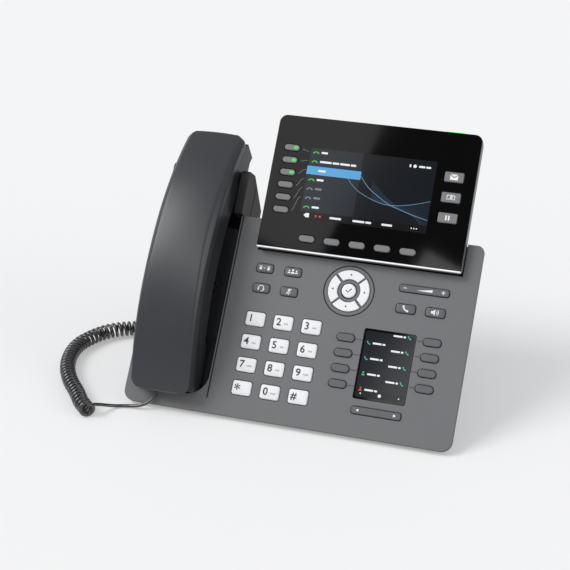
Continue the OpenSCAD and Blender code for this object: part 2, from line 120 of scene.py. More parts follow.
def plastic(name, colour, rough, bump=0.08, grain=1800.0, mottle=0.05, **sockets):
    """Plastic, rubber or metal: a fine grain in the bump, and faint drifts in colour and roughness."""
    mat = bpy.data.materials.new(name)
    mat.use_nodes = True
    nodes, links = mat.node_tree.nodes, mat.node_tree.links
    shader = nodes["Principled BSDF"]
    place = nodes.new("ShaderNodeTexCoord")
    drift = nodes.new("ShaderNodeTexNoise")
    drift.inputs["Scale"].default_value = 35.0
    drift.inputs["Detail"].default_value = 3.0
    ramp = nodes.new("ShaderNodeValToRGB")
    for stop, gain in ((0, 1 - mottle), (1, 1 + mottle)):
        ramp.color_ramp.elements[stop].color = [c * gain for c in colour] + [1]
    ramp.color_ramp.elements[0].position = 0.35
    ramp.color_ramp.elements[1].position = 0.65
    spread = nodes.new("ShaderNodeMapRange")
    spread.inputs["To Min"].default_value = rough - 0.04
    spread.inputs["To Max"].default_value = rough + 0.04
    fine = nodes.new("ShaderNodeTexNoise")
    fine.inputs["Scale"].default_value = grain
    fine.inputs["Detail"].default_value = 2.0
    relief = nodes.new("ShaderNodeBump")
    relief.inputs["Strength"].default_value = bump
    relief.inputs["Distance"].default_value = 0.0001
    for texture in (drift, fine):
        links.new(place.outputs["Object"], texture.inputs["Vector"])
    links.new(drift.outputs["Fac"], ramp.inputs["Fac"])
    links.new(drift.outputs["Fac"], spread.inputs["Value"])
    links.new(ramp.outputs["Color"], shader.inputs["Base Color"])
    links.new(spread.outputs["Result"], shader.inputs["Roughness"])
    links.new(fine.outputs["Fac"], relief.inputs["Height"])
    links.new(relief.outputs["Normal"], shader.inputs["Normal"])
    for socket, value in sockets.items():
        shader.inputs[socket.replace("_", " ").title().replace("Ior", "IOR")].default_value = value
    return mat


def lit(name, colour, strength=1.0, rough=0.12):
    """A lit part of a display: its own light under a glossy surface, faintly uneven."""
    mat = plastic(name, [c * 0.05 for c in colour], rough, bump=0.01, mottle=0.1)
    nodes, links = mat.node_tree.nodes, mat.node_tree.links
    shader = nodes["Principled BSDF"]
    glow = nodes.new("ShaderNodeValToRGB")
    for stop, gain in ((0, 0.94), (1, 1.06)):
        glow.color_ramp.elements[stop].color = [min(1.0, c * gain) for c in colour] + [1]
    links.new(nodes["Noise Texture"].outputs["Fac"], glow.inputs["Fac"])
    links.new(glow.outputs["Color"], shader.inputs["Emission Color"])
    shader.inputs["Emission Strength"].default_value = strength
    shader.inputs["Specular IOR Level"].default_value = GLASS_SPECULAR
    return mat


def grey(level):
    """A neutral colour of the given display level, 0 to 255, as a linear value."""
    return [((level / 255 + 0.055) / 1.055) ** 2.4] * 3


def tint(red, green, blue):
    return [grey(level)[0] for level in (red, green, blue)]


MATS = {
    "grey_shell": plastic("grey_shell", tint(104, 105, 107), 0.5, bump=0.12, mottle=0.02),
    "black_shell": plastic("black_shell", tint(34, 34, 37), 0.48, bump=0.2, mottle=0.06),
    "cradle_shell": plastic("cradle_shell", tint(30, 31, 33), 0.55, bump=0.1, mottle=0.04,
                            specular_ior_level=0.25),
    "handset_shell": plastic("handset_shell", tint(48, 49, 53), 0.36, bump=0.05, mottle=0.02),
    # A darker copy of the handset plastic: painted shade on the body's sides and underside.
    "handset_shaded_body": plastic("handset_shaded_body", tint(30, 31, 34), 0.42, bump=0.08, mottle=0.03),
    "frame_trim": plastic("frame_trim", tint(96, 97, 100), 0.35, bump=0.06),
    "silver_trim": plastic("silver_trim", tint(236, 237, 240), 0.3, bump=0.03, metallic=0.25),
    "cover_glass": plastic("cover_glass", tint(2, 2, 3), 0.05, bump=0.0, mottle=0.1,
                           specular_ior_level=GLASS_SPECULAR),
    "white_key": plastic("white_key", tint(236, 236, 238), 0.35, bump=0.04, mottle=0.01),
    "grey_key": plastic("grey_key", tint(86, 87, 90), 0.42, bump=0.08, mottle=0.03),
    "screen_key": plastic("screen_key", tint(112, 113, 115), 0.4, bump=0.08, mottle=0.03),
    "ink_dark": plastic("ink_dark", tint(30, 31, 33), 0.5, bump=0.02),
    "ink_grey": plastic("ink_grey", tint(168, 170, 174), 0.5, bump=0.02),
    "ink_white": plastic("ink_white", tint(240, 240, 242), 0.45, bump=0.02, emission_strength=0.0),
    # Near black as painted shade in the plate's grooves and gaps; the plate itself is grey plastic.
    "groove": plastic("groove", tint(22, 22, 24), 0.6, bump=0.05),
    "line_mark": plastic("line_mark", tint(120, 121, 124), 0.4, bump=0.02),
    "cord_jacket": plastic("cord_jacket", tint(36, 36, 38), 0.24, bump=0.04, mottle=0.1, coat_weight=1.0),
    "clear_plug": plastic("clear_plug", tint(196, 200, 204), 0.12, bump=0.02, transmission_weight=0.6),
    "metal": plastic("metal", tint(176, 177, 180), 0.3, bump=0.05, metallic=1.0),
    "circuit_board": plastic("circuit_board", tint(24, 92, 52), 0.35, bump=0.1, mottle=0.12),
    "socket_plastic": plastic("socket_plastic", tint(52, 53, 56), 0.5, bump=0.1),
    "foot_rubber": plastic("foot_rubber", tint(40, 40, 41), 0.75, bump=0.3, mottle=0.12),
    "key_rubber": plastic("key_rubber", tint(46, 46, 48), 0.7, bump=0.2),
    "light_green": lit("light_green", tint(40, 220, 60), 1.6),
    "key_green": lit("key_green", tint(84, 222, 92), 1.0),
    "lcd_dark": lit("lcd_dark", tint(22, 25, 30)),
    "lcd_panel": lit("lcd_panel", tint(37, 41, 48)),
    "lcd_row": lit("lcd_row", tint(31, 35, 41)),
    "lcd_bar": lit("lcd_bar", tint(17, 18, 21)),
    "lcd_blue": lit("lcd_blue", tint(88, 160, 214)),
    "lcd_white": lit("lcd_white", tint(232, 236, 240)),
    "lcd_dim": lit("lcd_dim", tint(122, 128, 136)),
    "lcd_green": lit("lcd_green", tint(60, 190, 84)),
    "lcd_teal": lit("lcd_teal", tint(66, 190, 170)),
    "lcd_red": lit("lcd_red", tint(214, 84, 66)),
    "lcd_wave": lit("lcd_wave", tint(112, 146, 172)),
    "lcd_haze": lit("lcd_haze", tint(44, 62, 80)),
    "side_dark": lit("side_dark", tint(24, 28, 34)),
}

# ---------------------------------------------------------------- outlines, in millimetres


def arc(x, y, r, start, end, steps=8):
    """Points of an arc, angles in degrees."""
    turns = [math.radians(start + (end - start) * i / steps) for i in range(steps + 1)]
    return [Vector((x + r * math.cos(a), y + r * math.sin(a))) for a in turns]


def circle(x, y, r, steps=36):
    return arc(x, y, r, 0, 360 - 360 / steps, steps - 1)


def rounded(x0, x1, y0, y1, r):
    """Rectangle with rounded corners; r is one radius, or four from the low left corner anticlockwise."""
    radii = r if isinstance(r, (list, tuple)) else [r] * 4
    spots = [(x0, y0, 1, 1), (x1, y0, -1, 1), (x1, y1, -1, -1), (x0, y1, 1, -1)]
    points = []
    for i, (x, y, sx, sy) in enumerate(spots):
        points += arc(x + sx * radii[i], y + sy * radii[i], radii[i], 180 + 90 * i, 270 + 90 * i, 7)
    return points


def box_loop(low, high, r, grow=0.0):
    return rounded(low.x - grow, high.x + grow, low.y - grow, high.y + grow, r + grow)


def ribbon(points, width):
    """Closed outline of a line of the given width."""
    points = [Vector(p[:2]) for p in points]
    left, right = [], []
    for i, p in enumerate(points):
        along = points[min(i + 1, len(points) - 1)] - points[max(i - 1, 0)]
        across = Vector((-along.y, along.x)).normalized() * width / 2
        left.append(p + across)
        right.append(p - across)
    return right + left[::-1]


def polygon(*points):
    return [Vector(p) for p in points]


def moved(loops, x, y, scale=1.0):
    return [[Vector((x, y)) + p * scale for p in loop] for loop in loops]


def area(loop):
    return sum(a.x * b.y - b.x * a.y for a, b in zip(loop, loop[1:] + loop[:1])) / 2


def shifted(loop, distance):
    """A closed loop moved to its left."""
    moved_points = []
    for i, here in enumerate(loop):
        before = (here - loop[i - 1]).normalized()
        after = (loop[(i + 1) % len(loop)] - here).normalized()
        side = Vector((-before.y, before.x))
        middle = (side + Vector((-after.y, after.x))).normalized()
        moved_points.append(here + middle * distance / max(middle.dot(side), 0.4))
    return moved_points


def clean(loop, ccw):
    """A loop without doubled points, turned so that the material is on its left."""
    kept = [p for i, p in enumerate(loop) if (p - loop[i - 1]).length > 1e-4]
    return kept if (area(kept) > 0) == ccw else kept[::-1]


# ---------------------------------------------------------------- meshes


def to_object(name, bm, axes, material, crease=35.0):
    """Moves a bmesh drawn in the given axes into the row's frame and makes it a smooth-shaded object."""
    bmesh.ops.remove_doubles(bm, verts=bm.verts, dist=1e-4)
    bmesh.ops.recalc_face_normals(bm, faces=bm.faces)
    bm.transform(axes)
    mesh = bpy.data.meshes.new(name)
    bm.to_mesh(mesh)
    bm.free()
    mesh.set_sharp_from_angle(angle=math.radians(crease))
    obj = bpy.data.objects.new(name, mesh)
    bpy.context.scene.collection.objects.link(obj)
    mesh.materials.append(MATS[material])
    return obj


def add_rings(bm, rings):
    """Joins closed rings of equal length, and returns them as vertices."""
    made = [[bm.verts.new(p) for p in ring] for ring in rings]
    for low, high in zip(made, made[1:]):
        for i in range(len(low)):
            k = (i + 1) % len(low)
            bm.faces.new((low[i], low[k], high[k], high[i])).smooth = True
    return made


def add_cap(bm, loops):
    """Fills a flat outline, less its holes, given as vertices."""
    flat = [v for loop in loops for v in loop]
    for a, b, c in tessellate_polygon([[v.co for v in loop] for loop in loops]):
        if len({a, b, c}) == 3:
            bm.faces.new((flat[a], flat[b], flat[c]))


FLAT_RIM = 0.05


def add_slab(bm, island, low, high, edge=0.3, crown=0.0, steps=3):
    """An outline and its holes raised into a slab with rounded upper edges, or with a domed top."""
    tops, bottoms = [], []
    for i, loop in enumerate(island):
        loop = clean(loop, i == 0)
        rings = [[p.to_3d() + Vector((0, 0, z)) for p in loop] for z in (low, high - edge)]
        for k in range(1, steps + 1):
            a = math.pi / 2 * k / steps
            ring = shifted(loop, edge * (1 - math.cos(a)))
            rings.append([p.to_3d() + Vector((0, 0, high - edge + edge * math.sin(a))) for p in ring])
        if steps > 1 and not crown:
            rings.append([p.to_3d() + Vector((0, 0, high)) for p in shifted(loop, edge + FLAT_RIM)])
        if crown:
            middle = sum((Vector(p) for p in rings[-1]), Vector()) / len(loop)
            for share in (0.8, 0.6, 0.4, 0.2):
                rise = Vector((0, 0, crown * (1 - share * share)))
                rings.append([middle + (p - middle) * share + rise for p in rings[4]])
        made = add_rings(bm, rings)
        tops.append(made[-1])
        bottoms.append(made[0])
    add_cap(bm, tops)
    add_cap(bm, bottoms)


def slab_piece(name, islands, low, high, axes, material, body="root", slot=None, stands_for=(), **shape):
    bm = bmesh.new()
    for island in islands:
        add_slab(bm, island, low, high, **shape)
    return put(to_object(name, bm, axes, material), body, stands_for)


def put(obj, body, stands_for=()):
    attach(obj, body)
    if stands_for:
        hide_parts(*stands_for)
    return obj


def decal(name, loops, height, axes, material, body="root", slot="white_key", thickness=0.06):
    """Printed or lit marks: each loop is a thin slab that stands on the given height."""
    islands = [[loop] for loop in loops]
    return slab_piece(name, islands, height, height + thickness, axes, material, body, slot,
                      edge=0.01, steps=1)


def tube(name, points, radius, material, sides=10):
    """A round tube along points in metres."""
    bm = bmesh.new()
    rings = []
    normal = Vector((0, 0, 1))
    for i, p in enumerate(points):
        along = (points[min(i + 1, len(points) - 1)] - points[max(i - 1, 0)]).normalized()
        normal = (normal - along * normal.dot(along)).normalized()
        side = along.cross(normal)
        turns = [2 * math.pi * k / sides for k in range(sides)]
        rings.append([p + radius * (math.cos(a) * normal + math.sin(a) * side) for a in turns])
    made = add_rings(bm, rings)
    bm.faces.new(made[0][::-1])
    bm.faces.new(made[-1])
    bmesh.ops.recalc_face_normals(bm, faces=bm.faces)
    mesh = bpy.data.meshes.new(name)
    bm.to_mesh(mesh)
    bm.free()
    obj = bpy.data.objects.new(name, mesh)
    bpy.context.scene.collection.objects.link(obj)
    mesh.materials.append(MATS[material])
    return obj


# ---------------------------------------------------------------- camera

CAMERA_AZIMUTH = 17.239
CAMERA_ELEVATION = 26.719
camera_data = bpy.data.cameras.new("camera")
camera_data.lens = 92.309
camera_data.sensor_width = 36.0
camera_data.clip_end = 20.0
camera = bpy.data.objects.new("camera", camera_data)
face_low = FACE @ Vector((0, 0, 0))
camera.location = (0.26657, face_low.y - 0.85008, 0.56490)
camera.rotation_euler = (math.radians(90 - CAMERA_ELEVATION), 0, math.radians(CAMERA_AZIMUTH))
bpy.context.scene.collection.objects.link(camera)
bpy.context.scene.camera = camera

# ---------------------------------------------------------------- cords

CORD_D = 2.6
COIL_R = 4.85
COIL_TURNS = 42
POINTS_PER_TURN = 16
COIL_ROUTE = [(-139, -106, 6.2), (-144, -101, 6.2), (-149, -96, 6.2), (-158, -84, 6.2), (-168, -72, 6.2),
              (-177, -58, 6.2), (-183, -44, 6.2), (-186, -30, 6.2), (-186, -17, 6.2), (-182, -5, 6.2),
              (-177, 4, 6.2), (-171, 11, 6.2), (-164, 16, 6.2), (-156, 20, 6.2), (-147, 23, 6.2),
              (-139, 25, 6.2)]
HANDSET_LEAD = [(-97.5, -75.9, 14.6), (-97.6, -78.2, 11.6), (-99, -80.6, 8.4), (-102.8, -82.6, 5.4),
                (-108, -83.9, 3.2), (-114, -84.4, 2), (-120, -85.2, 1.5), (-125.5, -87.8, 2),
                (-130.5, -92.5, 4.4), (-134.8, -98.3, 7.6), (-137.4, -103.2, 10)]
BASE_LEAD = [(-136, 25, 9.6), (-130.5, 21.5, 5), (-127, 16, 1.8), (-125.6, 9, 1.5), (-126, 2, 3),
             (-127.3, -3, 10), (-128, -6, 20), (-128, -8, 30), (-127, -9.5, 35.5), (-124.5, -10.5, 39),
             (-121, -10.9, 40.3), (-117.8, -10.9, 40.4)]


def curve_through(points, per_span):
    """A smooth curve through the points, as a Catmull-Rom spline."""
    points = [Vector(p) for p in points]
    padded = [2 * points[0] - points[1]] + points + [2 * points[-1] - points[-2]]
    out = []
    for i in range(1, len(padded) - 2):
        a, b, c, d = padded[i - 1 : i + 3]
        for k in range(per_span):
            t = k / per_span
            out.append(0.5 * (2 * b + (c - a) * t + (2 * a - 5 * b + 4 * c - d) * t**2
                              + (3 * b - a - 3 * c + d) * t**3))
    return out + [points[-1]]


def even_steps(points, count):
    """The same line in steps of equal length."""
    lengths = [0.0]
    for a, b in zip(points, points[1:]):
        lengths.append(lengths[-1] + (b - a).length)
    out, i = [], 0
    for k in range(count + 1):
        want = lengths[-1] * k / count
        while i < len(points) - 2 and lengths[i + 1] < want:
            i += 1
        share = (want - lengths[i]) / max(lengths[i + 1] - lengths[i], 1e-9)
        out.append(points[i].lerp(points[i + 1], min(share, 1.0)))
    return out


def helix(route, radius, turns):
    """The coil's wire: it turns round the route, starts on the coil's top and ends there."""
    line = even_steps(curve_through(route, 12), turns * POINTS_PER_TURN)
    out = []
    for i, p in enumerate(line):
        along = (line[min(i + 1, len(line) - 1)] - line[max(i - 1, 0)]).normalized()
        side = along.cross(Vector((0, 0, 1))).normalized()
        a = 2 * math.pi * i / POINTS_PER_TURN
        out.append(p + radius * (math.cos(a) * Vector((0, 0, 1)) + math.sin(a) * side))
    return out


coil = helix(COIL_ROUTE, COIL_R, COIL_TURNS)
lead_out = curve_through([coil[-1]] + [Vector(p) for p in BASE_LEAD[1:]], 5)
coil_path = [p * MM for p in coil[:-1] + lead_out]
lead_path = [p * MM for p in curve_through([Vector(p) for p in HANDSET_LEAD[:-1]] + [coil[0]], 5)]
coiled_cord = tube("coiled_cord", coil_path, CORD_D / 2 * MM, "cord_jacket")
put(coiled_cord, "root", ("curly_cord", "cord_lead_base"))
handset_cord = tube("handset_lead", lead_path, CORD_D / 2 * MM, "cord_jacket")
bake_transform(handset_cord)
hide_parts("cord_lead_handset")

# ---------------------------------------------------------------- face plate

GAP = 0.4
NAV = centre("ok_key", FACE)
NAV_IN = 8.65
NAV_OUT = 15.35
NAV_RING = 18.3
NAV_GROOVE = 19.0
OK_R = 5.2
DIAL = ["key_" + name for name in "1 2 3 4 5 6 7 8 9 star 0 hash".split()]
SCREEN_KEYS = ["message_key", "contacts_key", "hold_key"]
FUNCTION = ["transfer_key", "conference_key", "headset_key", "mute_key"]
CALL = ["send_key", "speaker_key"]
ROCKERS = ["volume_rocker", "page_rocker"]
NAV_TURNS = {"nav_up": 0, "nav_left": 90, "nav_down": 180, "nav_right": 270}


def nav_quarter(angle, inner, outer, gap):
    """A quarter ring that faces up, cut parallel to its diagonals, then turned."""
    lean_out = math.degrees(math.asin(gap / 2 / outer))
    lean_in = math.degrees(math.asin(gap / 2 / inner))
    start, end = 45 + angle, 135 + angle
    return (arc(NAV.x, NAV.y, outer, start + lean_out, end - lean_out, 14)
            + arc(NAV.x, NAV.y, inner, end - lean_in, start + lean_in, 10))


def key_box(node, axes):
    """A key's corners; a rocker's leave out the pivots on its long sides."""
    low, high = corners(node, axes)
    pivot = Vector((0, 0.2 if node in ROCKERS else 0.0, 0))
    return low + pivot, high - pivot


def stadium_of(box, grow=0.0):
    low, high = box
    return box_loop(low, high, (high.y - low.y) / 2 - 0.01, grow)


def plate_outline(seam):
    """The plate's edge, with its notches for the display and the cradle, and the seam beside the cradle."""
    half, top = plate_high.x, plate_high.y - plate_low.y
    screen_low, screen_high = corners("display_frame", FACE)
    cradle_left, cradle_right, cradle_low = -118.0, -60.6, 11.8
    loop = arc(-half + 8, 8, 8, 180, 270) + arc(half - 8, 8, 8, 270, 360) + arc(half - 5, top - 5, 5, 0, 90)
    loop += polygon((screen_high.x + 0.4, top), (screen_high.x + 0.4, 126), (screen_low.x - 0.4, 126))
    loop += polygon((screen_low.x - 0.4, top))
    if seam:
        loop += polygon((-58.7, top)) + arc(-59.2, 11.5, 0.5, 0, -180, 6) + polygon((-59.7, top))
    loop += polygon((cradle_right, top)) + arc(cradle_right - 16, cradle_low + 16, 16, 0, -90, 12)
    loop += arc(cradle_left + 8, cradle_low + 8, 8, 270, 180) + polygon((cradle_left, top))
    return loop + arc(-half + 4.5, top - 4.5, 4.5, 90, 180)


side_box = corners("side_glass", FACE)
holes = [box_loop(*corners(k, FACE), 1.8, 0.5) for k in DIAL]
holes += [box_loop(*corners(k, FACE), 1.8, GAP) for k in FUNCTION + CALL]
holes += [box_loop(*key_box(k, FACE), 1.6, GAP) for k in ROCKERS]
holes += [stadium_of(s, GAP) for k in ("side_keys_left", "side_keys_right") for s in solids_of(k, FACE)]
holes += [box_loop(*side_box, 1.3, 0.15)]
nav_holes = [nav_quarter(t, NAV_IN - GAP, NAV_OUT + GAP, 1.0) for t in NAV_TURNS.values()]
nav_holes += [circle(NAV.x, NAV.y, OK_R + 2 * GAP)]
top_low, skirt_low, skirt_high = -1.3, -4, -1.25
slab_piece("face_plate_top", [[plate_outline(True)] + holes + [circle(NAV.x, NAV.y, NAV_GROOVE, 72)]],
           top_low, 0, FACE, "grey_shell", stands_for=["face_plate"], edge=0.3)
slab_piece("nav_ring", [[circle(NAV.x, NAV.y, NAV_RING, 72)] + nav_holes], top_low, 0, FACE,
           "grey_shell", edge=0.3)
# The plate's skirt is grey plastic coloured near black: painted shade in the seam, the groove round the nav ring,
# the key hole walls and the plate's lower edge.
slab_piece("face_plate_skirt", [[plate_outline(False)] + holes + nav_holes], skirt_low, skirt_high, FACE,
           "groove", slot="grey_shell", edge=0.05, steps=1)
guides = []
for keys, side in (("side_keys_left", 0), ("side_keys_right", 1)):
    for low, high in solids_of(keys, FACE):
        y = (low.y + high.y) / 2
        ends = (low.x - 0.9, side_box[1].x + 0.4) if side else (high.x + 0.9, side_box[0].x - 0.4)
        guides.append(ribbon([(ends[0], y), (ends[1], y)], 0.45))
# The guide lines are grooves in the grey plate, drawn as flat near-black lines: painted shade.
decal("key_guide_lines", guides, 0.0, FACE, "groove", slot="grey_shell", thickness=0.03)

# ---------------------------------------------------------------- keys and their marks

PERSON = [circle(0, 1.05, 0.75, 16), arc(0, -1.4, 1.35, 0, 180, 10)]
HANDSET_MARK = [ribbon(arc(1.6, 1.6, 3.1, 185, 265, 8), 0.9), circle(-1.5, 1.25, 0.78, 12),
                circle(1.25, -1.5, 0.78, 12)]


def icon_transfer():
    phone = [ribbon([(-0.9, 0.9), (0.9, 0.9)], 0.5), rounded(-0.8, 0.8, -1.2, 0.3, 0.3)]
    dots = [polygon((-0.8, 0.3), (0.9, 0), (-0.8, -0.3))]
    return moved(phone, -2.7, 0, 1.05) + moved(phone, 2.7, 0, 1.05) + moved(dots, 0, 0, 1.0)


def icon_conference():
    return moved(PERSON, 0, 0.1, 0.95) + moved(PERSON, -2.5, -0.1, 0.72) + moved(PERSON, 2.5, -0.1, 0.72)


def icon_headset():
    return [ribbon(arc(0, 0, 1.75, -10, 190, 14), 0.5), rounded(-2.2, -1.3, -1.5, 0.2, 0.3),
            rounded(1.3, 2.2, -1.5, 0.2, 0.3), ribbon([(1.7, -1.5), (0.9, -2.1), (0.1, -2.1)], 0.4)]


def icon_mute():
    return [rounded(-0.65, 0.65, -0.5, 2.0, 0.64), ribbon(arc(0, 0.1, 1.3, 200, 340, 8), 0.4),
            ribbon([(0, -1.2), (0, -2.1)], 0.45), ribbon([(-1.7, -1.7), (1.7, 1.9)], 0.4)]


def icon_speaker():
    return [rounded(-2.7, -1.6, -0.8, 0.8, 0.1),
            polygon((-1.5, -0.9), (-0.1, -2.0), (-0.1, 2.0), (-1.5, 0.9)),
            ribbon(arc(-0.2, 0, 1.3, -45, 45), 0.4), ribbon(arc(-0.2, 0, 2.3, -50, 50), 0.4)]


def icon_message():
    return [polygon((-2.6, -1.9), (2.6, -1.9), (2.6, 1.2), (0, -0.7), (-2.6, 1.2)),
            polygon((-2.4, 1.8), (0, 0.1), (2.4, 1.8))]


def icon_contacts():
    return [ribbon([(-2.5, 1.3), (-2.5, -1.4), (-0.2, -1.1), (-0.2, 1.5), (-2.4, 1.3)], 0.45),
            ribbon([(2.5, 1.3), (2.5, -1.4), (0.2, -1.1), (0.2, 1.5), (2.4, 1.3)], 0.45),
            ribbon([(0.9, -0.6), (0.9, 1.1)], 0.5)]


def icon_hold():
    return [rounded(-1.35, -0.45, -1.6, 1.6, 0.15), rounded(0.45, 1.35, -1.6, 1.6, 0.15)]


def icon_volume():
    return [ribbon([(-15.2, 0), (-12.8, 0)], 0.5), polygon((-5.5, -0.7), (6.0, -0.9), (6.0, 1.0)),
            ribbon([(12.6, 0), (15.2, 0)], 0.6), ribbon([(13.9, -1.3), (13.9, 1.3)], 0.6)]


def icon_page():
    return [polygon((-14.6, 0), (-12.6, 1.1), (-12.6, -1.1)), polygon((14.6, 0), (12.6, -1.1), (12.6, 1.1))]


ICONS = {
    "transfer_key": icon_transfer(), "conference_key": icon_conference(), "headset_key": icon_headset(),
    "mute_key": icon_mute(), "send_key": HANDSET_MARK, "speaker_key": icon_speaker(),
    "message_key": icon_message(), "contacts_key": icon_contacts(), "hold_key": icon_hold(),
    "volume_rocker": icon_volume(), "page_rocker": icon_page(),
}


def key_cap(node, axes, radius, material, edge=0.5, crown=0.0, slot=None):
    low, high = key_box(node, axes)
    slab_piece(node + "_cap", [[box_loop(low, high, radius)]], low.z, high.z - crown, axes, material,
               node + "_body", slot or material, [node], edge=edge, crown=crown)
    if node in ICONS:
        middle = (low + high) / 2
        marks = moved(ICONS[node], middle.x, middle.y, 1.0 if node in ROCKERS else 1.12)
        decal(node + "_mark", marks, high.z - 0.02, axes, "ink_white", node + "_body", "white_key")


def digit(node, text, height):
    """A dial digit as a flat mesh, on the left of its key, with dashes where the letters would be."""
    low, high = corners(node, FACE)
    data = bpy.data.curves.new(node + "_digit", "FONT")
    data.body = text
    data.size = height
    data.extrude = 0.03
    data.offset = 0.09
    data.align_x = "CENTER"
    data.align_y = "CENTER"
    obj = bpy.data.objects.new(node + "_digit", data)
    bpy.context.scene.collection.objects.link(obj)
    bpy.context.view_layer.update()
    mesh = bpy.data.meshes.new_from_object(obj.evaluated_get(bpy.context.evaluated_depsgraph_get()))
    bpy.data.objects.remove(obj)
    middle = (low + high) / 2
    drop = 1.7 if text == "*" else 0
    mesh.transform(FACE @ Matrix.Translation((middle.x - 3.1, middle.y - drop, high.z + 0.02)))
    mesh.materials.clear()
    mesh.materials.append(MATS["ink_dark"])
    made = bpy.data.objects.new(node + "_digit", mesh)
    bpy.context.scene.collection.objects.link(made)
    put(made, node + "_body")
    letters = {"key_1": 0, "key_7": 4, "key_9": 4, "key_star": 0, "key_hash": 0, "key_0": 4}.get(node, 3)
    if letters:
        start = middle.x + 2.6 - (letters - 1) * 0.5
        dashes = [rounded(start + i - 0.34, start + i + 0.34, middle.y - 1.35, middle.y - 0.25, 0.1)
                  for i in range(letters)]
        decal(node + "_dashes", dashes, high.z - 0.01, FACE, "ink_grey", node + "_body")


for key in DIAL:
    key_cap(key, FACE, 1.8, "white_key", edge=0.9, crown=0.45)
    name = key.split("_")[1]
    digit(key, {"star": "*", "hash": "#"}.get(name, name), 10.5 if name == "star" else 7.6)
for key in FUNCTION + CALL:
    key_cap(key, FACE, 1.8, "grey_key", crown=0.15)
for key in ROCKERS:
    key_cap(key, FACE, 1.6, "grey_key")
for key in SCREEN_KEYS:
    key_cap(key, SCREEN, 0.9, "screen_key", slot="grey_key")
for key, angle in NAV_TURNS.items():
    low, high = corners(key, FACE)
    slab_piece(key + "_cap", [[nav_quarter(angle, NAV_IN, NAV_OUT, 1.7)]], low.z, high.z, FACE, "white_key",
               key + "_body", None, [key], edge=0.45)
    middle = Vector((0, 12)).to_3d()
    middle.rotate(Matrix.Rotation(math.radians(angle), 3, "Z"))
    arrow = [Vector((x, y, 0)) for x, y in ((-0.85, -0.65), (0.85, -0.65), (0, 0.85))]
    for p in arrow:
        p.rotate(Matrix.Rotation(math.radians(angle), 3, "Z"))
    decal(key + "_arrow", [[Vector((NAV.x + middle.x + p.x, NAV.y + middle.y + p.y)) for p in arrow]],
          high.z, FACE, "ink_dark", key + "_body", "grey_key")
low, high = corners("ok_key", FACE)
slab_piece("ok_key_cap", [[circle(NAV.x, NAV.y, OK_R)]], low.z, high.z - 0.2, FACE, "white_key",
           "ok_key_body", None, ["ok_key"], edge=0.5, crown=0.2)
tick = ribbon([(-1.9, 0.1), (-0.5, -1.4), (2.1, 1.6)], 0.7)
decal("ok_key_mark", moved([tick], NAV.x, NAV.y), high.z - 0.02, FACE, "ink_dark", "ok_key_body",
      "grey_key")
for bank, axes, material in (("side_keys_left", FACE, "grey_key"), ("side_keys_right", FACE, "grey_key"),
                             ("line_keys", SCREEN, "screen_key"), ("soft_keys", SCREEN, "screen_key")):
    solids = solids_of(bank, axes)
    low, high = solids[0]
    slab_piece(bank + "_caps", [[stadium_of(s)] for s in solids], low.z, high.z, axes, material,
               bank + "_body", "grey_key", [bank], edge=0.6)

# ---------------------------------------------------------------- display

GLASS_LOW, GLASS_HIGH = corners("display_glass", SCREEN)
FRAME_LOW, FRAME_HIGH = corners("display_frame", SCREEN)
LCD_HALF_W = 47.5
LCD_HALF_H = 26.95
LIP = 0.35
glass_loop = rounded(FRAME_LOW.x + LIP, FRAME_HIGH.x - LIP, GLASS_LOW.y, FRAME_HIGH.y - LIP,
                     [1, 1, 5.5, 5.5])
glass_holes = [stadium_of(s, GAP) for k in ("line_keys", "soft_keys") for s in solids_of(k, SCREEN)]
glass_holes += [box_loop(*corners(k, SCREEN), 0.9, GAP) for k in SCREEN_KEYS]
slab_piece("cover_glass", [[glass_loop] + glass_holes], -1.9, 0, SCREEN, "cover_glass",
           stands_for=["display_glass"], edge=0.25)
frame_loop = rounded(FRAME_LOW.x, FRAME_HIGH.x, FRAME_LOW.y, FRAME_HIGH.y, [2.4, 2.4, 5.9, 5.9])
RIM = 2.6
BEZEL_LOW = -5.5
window = rounded(GLASS_LOW.x + RIM, GLASS_HIGH.x - RIM, GLASS_LOW.y + RIM, GLASS_HIGH.y - RIM,
                 [1, 1, 3, 3])
slab_piece("display_bezel", [[frame_loop, window]], BEZEL_LOW, -0.3, SCREEN, "frame_trim",
           stands_for=["display_frame"], edge=0.9)
slab_piece("display_rear_frame", [[shifted(clean(frame_loop, True), 0.5), window]], FRAME_LOW.z,
           BEZEL_LOW, SCREEN, "black_shell", edge=0.1)
trim_loop = rounded(FRAME_LOW.x + 0.3, FRAME_HIGH.x - 0.3, FRAME_LOW.y, GLASS_LOW.y - 0.1, 0.5)
slab_piece("display_trim", [[trim_loop]], -1.6, 0.05, SCREEN, "silver_trim", slot="frame_trim",
           edge=0.4)
light_low, light_high = corners("status_light", SCREEN)
light_loop = rounded(light_low.x, light_high.x, FRAME_HIGH.y - 1.4, FRAME_HIGH.y + 0.15, 0.5)
slab_piece("status_light_guide", [[light_loop]], -5.2, -0.15, SCREEN, "light_green",
           slot="indicator", stands_for=["status_light"], edge=0.3)


UI_STEP = 0.03


def ui(name, loops, level, axes, material):
    """Marks of a display; a higher level lies over a lower one."""
    return decal(name, loops, glass_height[id(axes)] + UI_STEP * level, axes, material,
                 slot="lcd_panel", thickness=UI_STEP)


